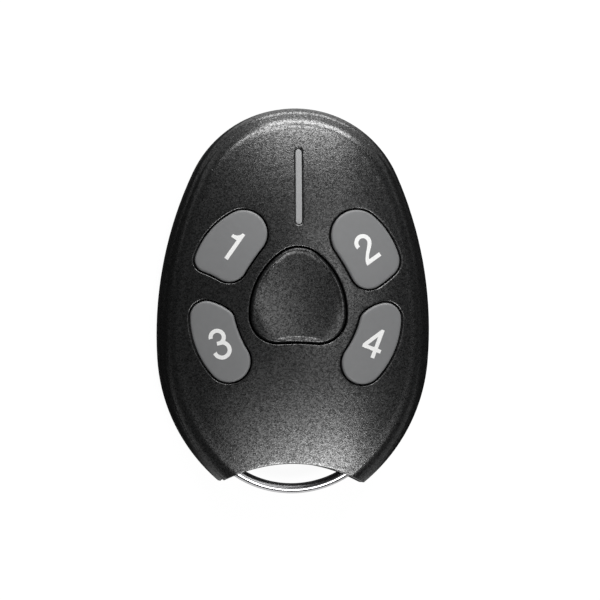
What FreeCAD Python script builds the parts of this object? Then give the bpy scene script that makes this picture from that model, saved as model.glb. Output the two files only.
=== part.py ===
import FreeCAD, Part
import itertools
import math
import os

import Sketcher
from FreeCAD import Placement, Rotation, Vector

# Key fob remote control: an egg-shaped case of two shells with a concave foot, four grey keys
# round a dished centre key, a light bar, a coin cell under the circuit board and a wire bail
# for a key ring. It lies on its back: X to the right, Y towards the light bar, Z out of the
# front. The origin is under the middle of the object, on the back face.

doc = FreeCAD.newDocument("key_fob")

# Driving dimensions in millimetres, angles in degrees.
SIZES = {
    # plan of the case
    "case_width": 40.0,
    "case_top": 28.35,
    "widest_place": -4.55,
    "nose_inset": 3.6,
    "tail_radius": 25.8,
    "tail_turn": 4.2,
    "tail_end_radius": 12.0,
    "notch_top": -23.93,
    "notch_radius": 21.4,
    "horn_radius": 0.45,
    "inner_horn_radius": 0.8,
    # section of the case
    "wall": 1.2,
    "crown_rise": 4.95,
    "crown_cross_radius": 45.0,
    "crown_long_radius": 90.0,
    "crown_middle": -1.0,
    "dome_inset": 0.6,
    "dome_back": 0.3,
    "edge_round": 3.4,
    "rim_height": 2.6,
    "rim_round": 1.6,
    "rear_round": 2.6,
    "split_chamfer": 0.2,
    "opening_round": 0.15,
    "foot_round": 0.18,
    "split_below_board": 0.4,
    # lip and hook that locate the front cover on the rear cover
    "lip_height": 0.6,
    "lip_thick": 0.6,
    "lip_play": 0.1,
    "lip_root": 1.2,
    "hook_width": 6.0,
    "hook_thick": 1.0,
    "hook_rise": 0.9,
    "hook_nib": 0.6,
    "hook_reach": 1.3,
    "hook_set_in": 1.25,
    "hook_play": 0.15,
    # keys
    "key_gap": 0.25,
    "key_proud": 0.15,
    "key_round": 0.35,
    "key_wall": 1.0,
    "hollow_rise": 1.2,
    "key_room_play": 0.1,
    "key_travel": 0.4,
    "flange_reach": 0.5,
    "flange_thick": 0.6,
    "flange_play": 0.05,
    "press_room": 0.1,
    "stem_radius": 1.2,
    "stem_play": 0.02,
    "collar_wall": 0.8,
    "dish_radius": 26.0,
    "dish_depth": 0.9,
    "dish_forward": 0.7,
    # light bar and its lamp
    "bar_from_top": 11.55,
    "bar_length": 11.05,
    "bar_width": 0.94,
    "bar_gap": 0.1,
    "bar_sink": 0.12,
    "bar_round": 0.12,
    "bar_flange": 0.7,
    "bar_foot": 2.4,
    "led_long": 2.0,
    "led_wide": 1.25,
    "led_high": 0.8,
    "led_gap": 0.1,
    # circuit board and what holds it
    "board_thick": 0.8,
    "board_edge_gap": 1.7,
    "board_end_gap": 0.75,
    "board_hook_gap": 0.2,
    "post_radius": 1.2,
    "pin_radius": 0.6,
    "pin_play": 0.1,
    "hold_radius": 0.9,
    "upper_post_from_top": 9.35,
    "upper_post_inset": 5.85,
    "lower_post_y": -10.5,
    "lower_post_inset": 4.65,
    # tact switches
    "switch_side": 4.5,
    "switch_high": 0.9,
    "switch_floor": 0.2,
    "switch_well": 1.2,
    "cover_thick": 0.2,
    "cover_tab": 2.0,
    "plunger_radius": 0.85,
    "plunger_play": 0.05,
    "plunger_proud": 0.4,
    "plunger_collar": 0.27,
    "plunger_collar_high": 0.25,
    "plunger_slack": 0.03,
    "cover_tab_drop": 0.6,
    "leg_long": 0.5,
    "leg_wide": 0.6,
    "leg_thick": 0.2,
    "leg_pitch": 3.0,
    # cell and its contacts
    "cell_radius": 10.0,
    "cell_thick": 3.2,
    "cell_round": 0.4,
    "cell_place": 3.0,
    "contact_gap": 0.6,
    "strap_thick": 0.25,
    "strap_gap": 0.15,
    "strap_width": 6.0,
    "strap_play": 0.3,
    "strap_foot": 1.4,
    "tongue_thick": 0.2,
    "tongue_width": 4.0,
    "tongue_long": 7.0,
    "tongue_pad": 1.55,
    "tongue_bend": 0.8,
    # parts under the board
    "chip_side": 4.0,
    "chip_high": 0.9,
    "chip_leg": 0.5,
    "chip_leg_thick": 0.15,
    "chip_leg_wide": 0.3,
    "chip_leg_pitch": 0.9,
    "chip_stand": 0.1,
    "chip_gap": 1.8,
    "radio_x": 4.5,
    "encoder_x": 2.0,
    "crystal_long": 3.2,
    "crystal_wide": 2.5,
    "crystal_high": 0.8,
    "crystal_x": -3.5,
    "small_long": 1.6,
    "small_wide": 0.8,
    "small_high": 0.5,
    "aerial_span": 18.0,
    "aerial_drop": 2.0,
    "aerial_radius": 0.4,
    "aerial_bend": 1.0,
    "aerial_from_edge": 1.2,
    # bail
    "wire_radius": 0.75,
    "bail_inset": 1.0,
    "bail_reach": 7.386,
    "bail_arc_spare": 4.72,
    "bail_corner": 2.0,
    "bail_shoulder": 1.2,
    "bail_droop": 16.0,
    "bail_lift": 11.0,
    "bail_play": 0.06,
    "pivot_set_in": 3.43,
    "mouth_play": 0.15,
    "mouth_side": 0.35,
    "mouth_inner": 2.7,
    "mouth_deep": 5.6,
    "mouth_drop": 0.95,
    "cradle_spacing": 6.0,
    "cradle_width": 2.0,
    "cradle_wall": 0.6,
    # screws and their bosses
    "screw_ahead": 3.3,
    "screw_inset": 5.35,
    "screw_radius": 0.93,
    "screw_play": 0.03,
    "screw_length": 6.6,
    "screw_point": 0.8,
    "screw_tip": 0.2325,
    "pilot_spare": 0.5,
    "head_round": 0.3,
    "head_radius": 1.9,
    "head_high": 1.2,
    "head_sink": 0.2,
    "head_play": 0.2,
    "cross_long": 2.28,
    "cross_wide": 0.5,
    "cross_deep": 0.7,
    "boss_radius": 2.25,
    "seat_thick": 1.2,
    "pedestal_wall": 0.7,
    # how far cutting forms reach past the case
    "cut_spare": 3.0,
}

# Heights and places that follow from them, as formulas of the sheet.
FORMULAS = {
    "nose_radius": "case_width / 2 - nose_inset",
    "nose_place": "case_top - nose_radius",
    "flank_rise": "nose_place - widest_place",
    "flank_radius": "((case_width / 2) ^ 2 + flank_rise ^ 2 - nose_radius ^ 2) / (2 * nose_inset)",
    "bar_place": "case_top - bar_from_top",
    "upper_post_y": "case_top - upper_post_from_top",
    "hook_outer": "case_top - wall - hook_set_in",
    "strap_low": "wall + strap_gap",
    "cell_low": "strap_low + strap_thick",
    "board_low": "cell_low + cell_thick + contact_gap",
    "board_top": "board_low + board_thick",
    "switch_top": "board_top + switch_high",
    "plate_top": "switch_top + cover_thick",
    "plunger_top": "plate_top + plunger_proud",
    "flange_low": "plate_top + key_travel + press_room",
    "flange_top": "flange_low + flange_thick",
    "deck": "flange_top + flange_play",
    "crown_height": "deck + crown_rise",
    "key_top": "crown_height + key_proud",
    "split_height": "board_low - split_below_board",
    "rim_top": "split_height + rim_height",
    "above_all": "crown_height + cut_spare",
    "axis_height": "crown_height - crown_long_radius",
    "notch_middle": "notch_top - notch_radius",
    "pivot_place": "notch_top + pivot_set_in",
    "screw_y": "pivot_place + screw_ahead",
    "seat_height": "head_sink + head_high",
    "pedestal_top": "seat_height + seat_thick",
    "board_foot": "screw_y + boss_radius + board_end_gap",
    "encoder_y": "cell_place - cell_radius - chip_gap - chip_side / 2",
    "radio_y": "cell_place + cell_radius + chip_gap + chip_side / 2",
    "aerial_y": "board_foot + aerial_from_edge",
}

# Outline of each key in plan: three corner circles (x, y, radius), counter-clockwise, and the
# radius of the side that leaves each of them, negative where the side is hollow.
KEYS = {
    "key_1": ([(-8.05, 9.85, 3.4), (-13.35, 5.85, 1.75), (-10.15, 5.3, 2.6)], [11.5, -14.0, -30.0]),
    "key_2": ([(8.6, 9.65, 3.85), (10.4, 4.65, 2.75), (12.4, 6.1, 2.65)], [-40.0, 18.0, 12.2]),
    "key_3": ([(-11.0, -2.95, 1.7), (-13.35, -2.5, 2.35), (-10.0, -8.95, 3.1)], [8.0, 13.0, -16.0]),
    "key_4": ([(13.0, -2.5, 2.4), (11.0, -2.95, 1.85), (9.65, -9.0, 3.1)], [6.0, -14.0, 13.0]),
    "centre_key": ([(0.0, 3.5, 4.35), (-3.0, -2.15, 4.0), (3.0, -2.15, 4.0)], [11.0, -30.0, 11.0]),
}

# Small parts soldered under the board: places from the encoder chip and from the radio chip.
ENCODER_PARTS = [(-9.0, 0.6), (-6.0, 0.6), (5.2, 0.6), (7.8, 0.9)]
RADIO_PARTS = [(-4.9, 3.6), (-11.3, -0.9)]

sheet = doc.addObject("Spreadsheet::Sheet", "Sizes")
rows = itertools.count(1)


def put(alias, content):
    """One row of the sheet: the name, and the value or formula under that alias."""
    row = next(rows)
    sheet.set("A%d" % row, alias)
    sheet.set("B%d" % row, str(content))
    sheet.setAlias("B%d" % row, alias)


def size(alias):
    """Value of a cell of the sheet."""
    return float(sheet.get(alias))


for alias, number in SIZES.items():
    put(alias, number)
for alias, formula in FORMULAS.items():
    put(alias, "=" + formula)
for key, (corners, sides) in KEYS.items():
    for letter, (x, y, radius), side in zip("abc", corners, sides):
        put("%s_corner_%s_x" % (key, letter), x)
        put("%s_corner_%s_y" % (key, letter), y)
        put("%s_corner_%s_radius" % (key, letter), radius)
        put("%s_side_%s_radius" % (key, letter), side)
doc.recompute()

# Plane geometry of the outlines.
UP = Vector(0, 0, 1)


def on_circle(centre, radius, angle):
    """Point of a circle in plan at an angle in radians."""
    return Vector(centre.x + radius * math.cos(angle), centre.y + radius * math.sin(angle), 0)


def bearing(centre, point):
    return math.atan2(point.y - centre.y, point.x - centre.x)


def arc(centre, radius, start, end, anticlockwise):
    """Arc from point start to point end, which both lie on the circle."""
    first = bearing(centre, start)
    turn = bearing(centre, end) - first
    turn = turn % (2 * math.pi) if anticlockwise else turn % (2 * math.pi) - 2 * math.pi
    return Part.Arc(start, on_circle(centre, radius, first + turn / 2), end)


def crossing(first, first_radius, second, second_radius, left):
    """Where two circles cross, on the left or right of the way from first to second."""
    way = second - first
    span = way.Length
    along = (first_radius**2 - second_radius**2 + span**2) / (2 * span)
    aside = math.sqrt(first_radius**2 - along**2)
    way.normalize()
    normal = Vector(-way.y, way.x, 0)
    return first + way * along + normal * (aside if left else -aside)


def away(centre, through, radius):
    """Point at radius from centre, on the line through another point."""
    way = through - centre
    way.normalize()
    return centre + way * radius


def rounded_outline(corners, sides, grow):
    """Arcs of a closed outline: corner circles joined by tangent side arcs, moved out by grow."""
    circles = [(Vector(x, y, 0), radius) for x, y, radius in corners]
    joins = []
    for place, side in enumerate(sides):
        (start, start_radius), (end, end_radius) = circles[place], circles[(place + 1) % len(circles)]
        bulge = side > 0
        centre = crossing(start, abs(side - start_radius), end, abs(side - end_radius), bulge)
        reach = side + grow if bulge else -side - grow
        first = centre + (start - centre) * (reach / (start - centre).Length)
        last = centre + (end - centre) * (reach / (end - centre).Length)
        joins.append((centre, reach, first, last, bulge))
    edges = []
    for place, (centre, reach, first, last, bulge) in enumerate(joins):
        edges.append(arc(centre, reach, first, last, bulge))
        corner, radius = circles[(place + 1) % len(circles)]
        following = joins[(place + 1) % len(joins)][2]
        edges.append(arc(corner, radius + grow, last, following, True))
    return edges


def key_outline(key, grow):
    corners = []
    sides = []
    for letter in "abc":
        name = "%s_corner_%s_" % (key, letter)
        corners.append((size(name + "x"), size(name + "y"), size(name + "radius")))
        sides.append(size("%s_side_%s_radius" % (key, letter)))
    return rounded_outline(corners, sides, grow)


def key_middle(key):
    """Place of the switch under a key: the middle of its three corner circles."""
    x = sum(size("%s_corner_%s_x" % (key, letter)) for letter in "abc") / 3
    y = sum(size("%s_corner_%s_y" % (key, letter)) for letter in "abc") / 3
    return x, y


def mirrored(point):
    return Vector(-point.x, point.y, 0)


def egg_points():
    """Centres of the egg's arcs (right side), and the angles of the joins at the flank's ends."""
    half = size("case_width") / 2
    nose, flank = size("nose_radius"), size("flank_radius")
    tail, end = size("tail_radius"), size("tail_end_radius")
    shoulder = math.acos((flank - half) / (flank - nose))
    turn = math.radians(size("tail_turn"))
    flank_centre = Vector(half - flank, size("widest_place"), 0)
    nose_centre = Vector(0, size("nose_place"), 0)
    tail_centre = on_circle(flank_centre, flank - tail, -turn)
    end_centre = Vector(0, tail_centre.y - math.sqrt((tail - end) ** 2 - tail_centre.x**2), 0)
    return nose_centre, flank_centre, tail_centre, end_centre, shoulder, turn


def egg_outline(grow):
    """The closed egg: nose, two flanks, two tail arcs and the tail's end, moved out by grow."""
    nose_c, flank_c, tail_c, end_c, shoulder, turn = egg_points()
    nose, flank = size("nose_radius") + grow, size("flank_radius") + grow
    tail, end = size("tail_radius") + grow, size("tail_end_radius") + grow
    upper = on_circle(nose_c, nose, shoulder)
    lower = on_circle(flank_c, flank, -turn)
    foot = away(tail_c, end_c, tail)
    return [
        arc(nose_c, nose, upper, mirrored(upper), True),
        arc(mirrored(flank_c), flank, mirrored(upper), mirrored(lower), True),
        arc(mirrored(tail_c), tail, mirrored(lower), mirrored(foot), True),
        arc(end_c, end, mirrored(foot), foot, True),
        arc(tail_c, tail, foot, lower, True),
        arc(flank_c, flank, lower, upper, True),
    ]


def notched_outline(grow, horn):
    """The case's plan, moved out by grow: the egg cut by the notch arc, with rounded horns."""
    nose_c, flank_c, tail_c, end_c, shoulder, turn = egg_points()
    nose, flank = size("nose_radius") + grow, size("flank_radius") + grow
    tail, notch = size("tail_radius") + grow, size("notch_radius") - grow
    notch_c = Vector(0, size("notch_top") - size("notch_radius"), 0)
    horn_c = crossing(notch_c, notch + horn, tail_c, tail - horn, False)
    upper = on_circle(nose_c, nose, shoulder)
    lower = on_circle(flank_c, flank, -turn)
    outer = away(tail_c, horn_c, tail)
    inner = away(notch_c, horn_c, notch)
    return [
        arc(nose_c, nose, upper, mirrored(upper), True),
        arc(mirrored(flank_c), flank, mirrored(upper), mirrored(lower), True),
        arc(mirrored(tail_c), tail, mirrored(lower), mirrored(outer), True),
        arc(mirrored(horn_c), horn, mirrored(outer), mirrored(inner), True),
        arc(notch_c, notch, mirrored(inner), inner, False),
        arc(horn_c, horn, inner, outer, True),
        arc(tail_c, tail, outer, lower, True),
        arc(flank_c, flank, lower, upper, True),
    ]


def slot_outline(width, length, grow):
    """A bar with round ends along Y."""
    radius = width / 2 + grow
    half = (length - width) / 2
    top, foot = Vector(0, half, 0), Vector(0, -half, 0)
    side = Vector(radius, 0, 0)
    return [
        arc(top, radius, top + side, top - side, True),
        Part.LineSegment(top - side, foot - side),
        arc(foot, radius, foot - side, foot + side, True),
        Part.LineSegment(foot + side, top + side),
    ]


# Features of a body.
def new_body(label):
    body = doc.addObject("PartDesign::Body", label)
    body.Label = label
    return body


def origin_plane(body, role):
    return next(feature for feature in body.Origin.OriginFeatures if feature.Role == role)


def new_sketch(body, at=("0", "0", "0"), role="XY_Plane"):
    """Sketch on an origin plane, shifted by three expressions in the plane's own axes."""
    sketch = body.newObject("Sketcher::SketchObject", "sketch")
    sketch.AttachmentSupport = [(origin_plane(body, role), "")]
    sketch.MapMode = "FlatFace"
    for axis, formula in zip("xyz", at):
        sketch.setExpression("AttachmentOffset.Base.%s" % axis, formula)
    return sketch


def outline_sketch(body, edges, at=("0", "0", "0"), role="XY_Plane"):
    sketch = new_sketch(body, at, role)
    sketch.addGeometry(edges, False)
    return sketch


def circle_sketch(body, radius, at=("0", "0", "0"), role="XY_Plane"):
    sketch = new_sketch(body, at, role)
    sketch.addGeometry(Part.Circle(Vector(0, 0, 0), UP, 1), False)
    sketch.addConstraint(Sketcher.Constraint("Coincident", 0, 3, -1, 1))
    sketch.addConstraint(Sketcher.Constraint("Radius", 0, 1))
    sketch.renameConstraint(1, "radius")
    sketch.setExpression("Constraints.radius", radius)
    return sketch


def rectangle_sketch(body, wide, deep, at=("0", "0", "0"), role="XY_Plane"):
    """Rectangle centred on the sketch's origin, its sides bound to two expressions."""
    sketch = new_sketch(body, at, role)
    corners = [Vector(-1, -1, 0), Vector(1, -1, 0), Vector(1, 1, 0), Vector(-1, 1, 0)]
    sketch.addGeometry([Part.LineSegment(corners[i], corners[(i + 1) % 4]) for i in range(4)], False)
    for i in range(4):
        sketch.addConstraint(Sketcher.Constraint("Coincident", i, 2, (i + 1) % 4, 1))
        sketch.addConstraint(Sketcher.Constraint("Horizontal" if i % 2 == 0 else "Vertical", i))
    sketch.addConstraint(Sketcher.Constraint("Symmetric", 0, 1, 1, 2, -1, 1))
    sketch.addConstraint(Sketcher.Constraint("DistanceX", 0, 1, 0, 2, 2))
    sketch.addConstraint(Sketcher.Constraint("DistanceY", 1, 1, 1, 2, 2))
    sketch.renameConstraint(9, "wide")
    sketch.renameConstraint(10, "deep")
    sketch.setExpression("Constraints.wide", wide)
    sketch.setExpression("Constraints.deep", deep)
    return sketch


def pad(body, sketch, length, down=False):
    feature = body.newObject("PartDesign::Pad", "pad")
    feature.Profile = sketch
    feature.setExpression("Length", length)
    feature.Reversed = down
    return feature


def pocket(body, sketch, length, up=False):
    """Cuts below the sketch, or above it where up is true, and checks that it cut something."""
    doc.recompute()
    before = body.Shape.Volume
    feature = body.newObject("PartDesign::Pocket", "pocket")
    feature.Profile = sketch
    feature.setExpression("Length", length)
    feature.Reversed = up
    doc.recompute()
    if not body.Shape.Volume < before:
        raise RuntimeError("a pocket in %s cuts nothing" % body.Label)
    return feature


def dress(body, kind, setting, formula, wanted):
    """Fillet or chamfer on the edges of the body's tip for which wanted(edge) is true."""
    doc.recompute()
    tip = body.Tip
    names = ["Edge%d" % (i + 1) for i, edge in enumerate(tip.Shape.Edges) if wanted(edge)]
    feature = body.newObject(kind, "dress")
    feature.Base = (tip, names)
    feature.setExpression(setting, formula)
    return feature


def fillet(body, radius, wanted):
    return dress(body, "PartDesign::Fillet", "Radius", radius, wanted)


def chamfer(body, width, wanted):
    return dress(body, "PartDesign::Chamfer", "Size", width, wanted)


TOUCH = 1e-4


def at_height(height):
    """Test for an edge that lies in a level plane."""
    return lambda edge: all(abs(z - height) < TOUCH for z in (edge.BoundBox.ZMin, edge.BoundBox.ZMax))


def round_crown_edge(body, radius):
    """Rounds the edge where the crown meets the upright side."""
    doc.recompute()
    crown_edges = []
    for face in body.Tip.Shape.Faces:
        if not isinstance(face.Surface, (Part.Plane, Part.Cylinder)):
            crown_edges += face.Edges
    fillet(body, radius, lambda edge: any(edge.isSame(other) for other in crown_edges))


CROWN_SWEEP = 80


def cut_crown(body, drop):
    """Cuts a body to the crown, drop below the case's outside: a small arc across the case
    carried round a large arc along it, over a sweep in degrees that passes both ends."""
    doc.recompute()
    before = body.Shape.Volume
    across = size("crown_cross_radius") - drop
    centre = Vector(0, size("crown_long_radius") - size("crown_cross_radius"), 0)
    half = size("case_width") / 2 + size("cut_spare")
    rise = math.sqrt(across**2 - half**2)
    left, right = centre + Vector(-half, rise, 0), centre + Vector(half, rise, 0)
    above = Vector(0, size("crown_long_radius") + size("case_width") / 2 - left.y, 0)
    edges = [
        arc(centre, across, left, right, False),
        Part.LineSegment(right, right + above),
        Part.LineSegment(right + above, left + above),
        Part.LineSegment(left + above, left),
    ]
    sketch = outline_sketch(body, edges, ("0", "Sizes.axis_height", "-Sizes.crown_middle"), "XZ_Plane")
    groove = body.newObject("PartDesign::Groove", "crown")
    groove.Profile = sketch
    groove.ReferenceAxis = (sketch, ["H_Axis"])
    groove.Angle = CROWN_SWEEP
    groove.Midplane = True
    doc.recompute()
    if not body.Shape.Volume < before:
        raise RuntimeError("the crown cuts nothing from %s" % body.Label)


# Solids joined, cut and shared.
def joined(label, shapes):
    feature = doc.addObject("Part::MultiFuse", label)
    feature.Shapes = shapes
    feature.Label = label
    feature.Refine = True
    return feature


def cut(label, base, tool):
    feature = doc.addObject("Part::Cut", label)
    feature.Base = base
    feature.Tool = tool
    feature.Label = label
    feature.Refine = True
    return feature


def shared(label, first, second):
    feature = doc.addObject("Part::Common", label)
    feature.Base = first
    feature.Tool = second
    feature.Label = label
    return feature


def prism(label, edges, low, length, x="0", y="0"):
    """Upright body over an outline."""
    body = new_body(label)
    pad(body, outline_sketch(body, edges, (x, y, low)), length)
    return body


def block(label, wide, deep, low, length, x="0", y="0"):
    body = new_body(label)
    pad(body, rectangle_sketch(body, wide, deep, (x, y, low)), length)
    return body


def rod(label, radius, low, length, x="0", y="0"):
    body = new_body(label)
    pad(body, circle_sketch(body, radius, (x, y, low)), length)
    return body


def level_rod(label, radius, half, y, z):
    """Level rod along X, from -half to half."""
    body = new_body(label)
    sketch = circle_sketch(body, radius, (y, z, "-(%s)" % half), "YZ_Plane")
    pad(body, sketch, "2 * (%s)" % half)
    return body


# Places that the case's plan gives.
def egg_half_width(y):
    """Half the case's width at a place along it, on the flank or tail arc."""
    nose_c, flank_c, tail_c, end_c, shoulder, turn = egg_points()
    if y > nose_c.y + size("nose_radius") * math.sin(shoulder):
        centre, radius = nose_c, size("nose_radius")
    elif y > flank_c.y - size("flank_radius") * math.sin(turn):
        centre, radius = flank_c, size("flank_radius")
    else:
        centre, radius = tail_c, size("tail_radius")
    return centre.x + math.sqrt(radius**2 - (y - centre.y) ** 2)


def horn_x():
    """Sideways place of the right horn's rounding."""
    tail_c = egg_points()[2]
    notch_c = Vector(0, size("notch_middle"), 0)
    horn = size("horn_radius")
    return crossing(notch_c, size("notch_radius") + horn, tail_c, size("tail_radius") - horn, False).x


put("upper_post_x", egg_half_width(size("upper_post_y")) - size("upper_post_inset"))
put("lower_post_x", egg_half_width(size("lower_post_y")) - size("lower_post_inset"))
put("screw_x", egg_half_width(size("screw_y")) - size("screw_inset"))
put("bail_side", horn_x() - size("bail_inset"))
for key in KEYS:
    middle_x, middle_y = key_middle(key)
    put(key + "_x", middle_x)
    put(key + "_y", middle_y)
doc.recompute()

WALL = size("wall")
POSTS = [
    ("right_upper", "Sizes.upper_post_x", "Sizes.upper_post_y"),
    ("left_upper", "-Sizes.upper_post_x", "Sizes.upper_post_y"),
    ("right_lower", "Sizes.lower_post_x", "Sizes.lower_post_y"),
    ("left_lower", "-Sizes.lower_post_x", "Sizes.lower_post_y"),
]


# Forms shared by both covers.
def domed_form(label, inward, corner):
    """The dome, or a form inward of it: the closed egg under the crown, its edge rounded."""
    edges = egg_outline(-size("dome_inset") - inward)
    body = prism(label, edges, "0", "Sizes.above_all", "0", "-Sizes.dome_back")
    cut_crown(body, inward)
    round_crown_edge(body, corner)
    return body


outside = domed_form("outside", 0, "Sizes.edge_round")
inside = domed_form("inside", WALL, "Sizes.edge_round - Sizes.wall")
rim = prism("rim", egg_outline(0), "0", "Sizes.rim_top")
fillet(rim, "Sizes.rim_round", at_height(size("rim_top")))
plan = prism("plan", notched_outline(0, size("horn_radius")), "0", "Sizes.above_all")
inner_plan = prism("inner_plan", notched_outline(-WALL, size("inner_horn_radius")), "0", "Sizes.above_all")
above_split = block(
    "above_split", "2 * Sizes.case_width", "3 * Sizes.case_width", "Sizes.split_height", "Sizes.above_all"
)

# Room for the bail where it passes the foot wall on each side, and its bar's bore.
leg_side = size("bail_side")
passing = size("pivot_place") - size("notch_middle") - math.sqrt(size("notch_radius") ** 2 - leg_side**2)


def wire_travel(angle):
    """How far the wire's outside reaches above or below the split where it passes the wall."""
    swing = math.radians(angle)
    return passing * math.sin(swing) + size("wire_radius") / math.cos(swing) + size("mouth_play")


put("mouth_down", wire_travel(size("bail_droop")))
put("mouth_up", wire_travel(size("bail_lift")))
doc.recompute()
mouths = []
for name, sign in (("right", ""), ("left", "-")):
    mouths.append(
        block(
            name + "_mouth",
            "Sizes.mouth_inner + Sizes.wire_radius + Sizes.mouth_side",
            "Sizes.mouth_deep",
            "Sizes.split_height - Sizes.mouth_down",
            "Sizes.mouth_down + Sizes.mouth_up",
            sign + "(Sizes.bail_side + (Sizes.wire_radius + Sizes.mouth_side - Sizes.mouth_inner) / 2)",
            "Sizes.notch_top - Sizes.mouth_drop",
        )
    )
bail_bore = level_rod(
    "bail_bore",
    "Sizes.wire_radius + Sizes.bail_play",
    "Sizes.cradle_spacing + Sizes.cradle_width",
    "Sizes.pivot_place",
    "Sizes.split_height",
)


def rods(name, places, radius, low, length):
    return [rod(place[0] + name, radius, low, length, place[1], place[2]) for place in places]


def cradles(name, low, length):
    """Blocks that hold the bail's bar, in line across the foot."""
    deep = "2 * (Sizes.wire_radius + Sizes.bail_play + Sizes.cradle_wall)"
    places = [("left", "-Sizes.cradle_spacing"), ("middle", "0"), ("right", "Sizes.cradle_spacing")]
    return [
        block(side + name, "Sizes.cradle_width", deep, low, length, x, "Sizes.pivot_place")
        for side, x in places
    ]


SCREWS = [("right", "Sizes.screw_x", "Sizes.screw_y"), ("left", "-Sizes.screw_x", "Sizes.screw_y")]
HOOK_MIDDLE = "Sizes.hook_outer - Sizes.hook_thick / 2"

# Rear cover: a dish with a flat back, from which posts, pedestals, cradles and a hook stand.
rear_egg = prism("rear_egg", egg_outline(0), "0", "Sizes.split_height")
fillet(rear_egg, "Sizes.rear_round", at_height(0))
chamfer(rear_egg, "Sizes.split_chamfer", at_height(size("split_height")))
rear_room = prism("rear_room", egg_outline(-WALL), "Sizes.wall", "Sizes.split_height")
fillet(rear_room, "Sizes.rear_round - Sizes.wall", at_height(WALL))
rear_dish = cut("rear_dish", shared("rear_block", rear_egg, plan), shared("rear_cavity", rear_room, inner_plan))


def lip_ring(name, outer, low, length):
    """Ring along the wall's inside, from outer to the lip's inner face."""
    horn = size("inner_horn_radius")
    inner = WALL + size("lip_play") + size("lip_thick")
    return cut(
        name,
        prism(name + "_outer", notched_outline(-outer, horn), low, length),
        prism(name + "_inner", notched_outline(-inner, horn), low, length),
    )


LIP_LOW = "Sizes.split_height - Sizes.lip_root"
lip = lip_ring("lip", WALL + size("lip_play"), LIP_LOW, "Sizes.lip_root + Sizes.lip_height")
lip_root = lip_ring("lip_root", WALL / 2, LIP_LOW, "Sizes.lip_root - Sizes.split_chamfer")
tongue = block(
    "hook_tongue",
    "Sizes.hook_width",
    "Sizes.hook_thick",
    "Sizes.wall / 2",
    "Sizes.split_height + Sizes.hook_rise - Sizes.wall / 2",
    "0",
    HOOK_MIDDLE,
)
nib = block(
    "hook_nib",
    "Sizes.hook_width",
    "Sizes.hook_reach + Sizes.hook_thick / 2",
    "Sizes.split_height + Sizes.hook_rise - Sizes.hook_nib",
    "Sizes.hook_nib",
    "0",
    "Sizes.hook_outer + Sizes.hook_reach / 2 - Sizes.hook_thick / 4",
)
pedestals = rods(
    "_pedestal", SCREWS, "Sizes.head_radius + Sizes.head_play + Sizes.pedestal_wall", "Sizes.wall / 2",
    "Sizes.pedestal_top - Sizes.wall / 2",
)
posts = rods("_post", POSTS, "Sizes.post_radius", "Sizes.wall / 2", "Sizes.board_low - Sizes.wall / 2")
pins = rods("_pin", POSTS, "Sizes.pin_radius", "Sizes.wall / 2", "Sizes.board_top - Sizes.wall / 2")
rear_cradles = cradles("_cradle", "Sizes.wall / 2", "Sizes.split_height - Sizes.wall / 2")
screw_holes = rods(
    "_screw_hole", SCREWS, "Sizes.screw_radius + Sizes.head_play", "-Sizes.wall", "Sizes.split_height"
)
counterbores = rods(
    "_counterbore", SCREWS, "Sizes.head_radius + Sizes.head_play", "-Sizes.wall",
    "Sizes.seat_height + Sizes.wall",
)
rear_cover = cut(
    "rear_cover",
    joined("rear_solid", [rear_dish, lip, lip_root, tongue, nib] + pedestals + posts + pins + rear_cradles),
    joined("rear_cuts", screw_holes + counterbores + [bail_bore] + mouths),
)

# Front cover: a domed shell with a rim, a collar round each opening, bosses, and pins that
# hold the board down. Its outer edges at the openings and the foot are rounded first.
bar_shape = (size("bar_width"), size("bar_length"))
openings = [
    prism(key + "_opening", key_outline(key, size("key_gap")), "Sizes.split_height", "Sizes.above_all")
    for key in KEYS
]
openings.append(
    prism(
        "bar_opening", slot_outline(*bar_shape, size("bar_gap")), "Sizes.split_height", "Sizes.above_all", "0",
        "Sizes.bar_place",
    )
)
front_mass = joined("front_mass", [outside, rim])
front_block = shared("front_block", shared("front_half", front_mass, plan), above_split)
front_pierced = cut("front_pierced", front_block, joined("openings", openings))
doc.recompute()
foot_line = size("notch_top") + size("foot_round")
edge_rounds = []
for place, edge in enumerate(front_pierced.Shape.Edges, 1):
    faces = front_pierced.Shape.ancestorsOfType(edge, Part.Face)
    upright = [face for face in faces if isinstance(face.Surface, (Part.Plane, Part.Cylinder))]
    if len(upright) == 1 and edge.BoundBox.ZMax > size("rim_top") and edge.BoundBox.ZLength < size("rim_top"):
        kind = "foot_round" if edge.CenterOfMass.y < foot_line else "opening_round"
        edge_rounds.append((place, size(kind), size(kind)))
front_rounded = doc.addObject("Part::Fillet", "front_rounded")
front_rounded.Base = front_pierced
front_rounded.Edges = edge_rounds
lip_room = prism(
    "lip_room",
    notched_outline(-WALL, size("inner_horn_radius")),
    "0",
    "Sizes.split_height + Sizes.lip_height + Sizes.lip_play",
)
front_room = joined("front_room", [shared("front_cavity", inside, inner_plan), lip_room])
front_shell = cut("front_shell", front_rounded, front_room)
around_key = size("key_gap") + size("collar_wall")
collars = [prism(key + "_collar", key_outline(key, around_key), "Sizes.deck", "Sizes.above_all") for key in KEYS]
collars.append(
    prism(
        "bar_collar",
        slot_outline(*bar_shape, size("bar_gap") + size("collar_wall")),
        "Sizes.deck",
        "Sizes.above_all",
        "0",
        "Sizes.bar_place",
    )
)
bosses = rods("_boss", SCREWS, "Sizes.boss_radius", "Sizes.pedestal_top", "Sizes.above_all")
hold_pins = rods("_hold_pin", POSTS, "Sizes.hold_radius", "Sizes.board_top", "Sizes.above_all")
cradle_caps = cradles("_cradle_cap", "Sizes.split_height", "Sizes.above_all")
within_wall = domed_form("within_wall", WALL / 2, "Sizes.edge_round - Sizes.wall / 2")
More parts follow.
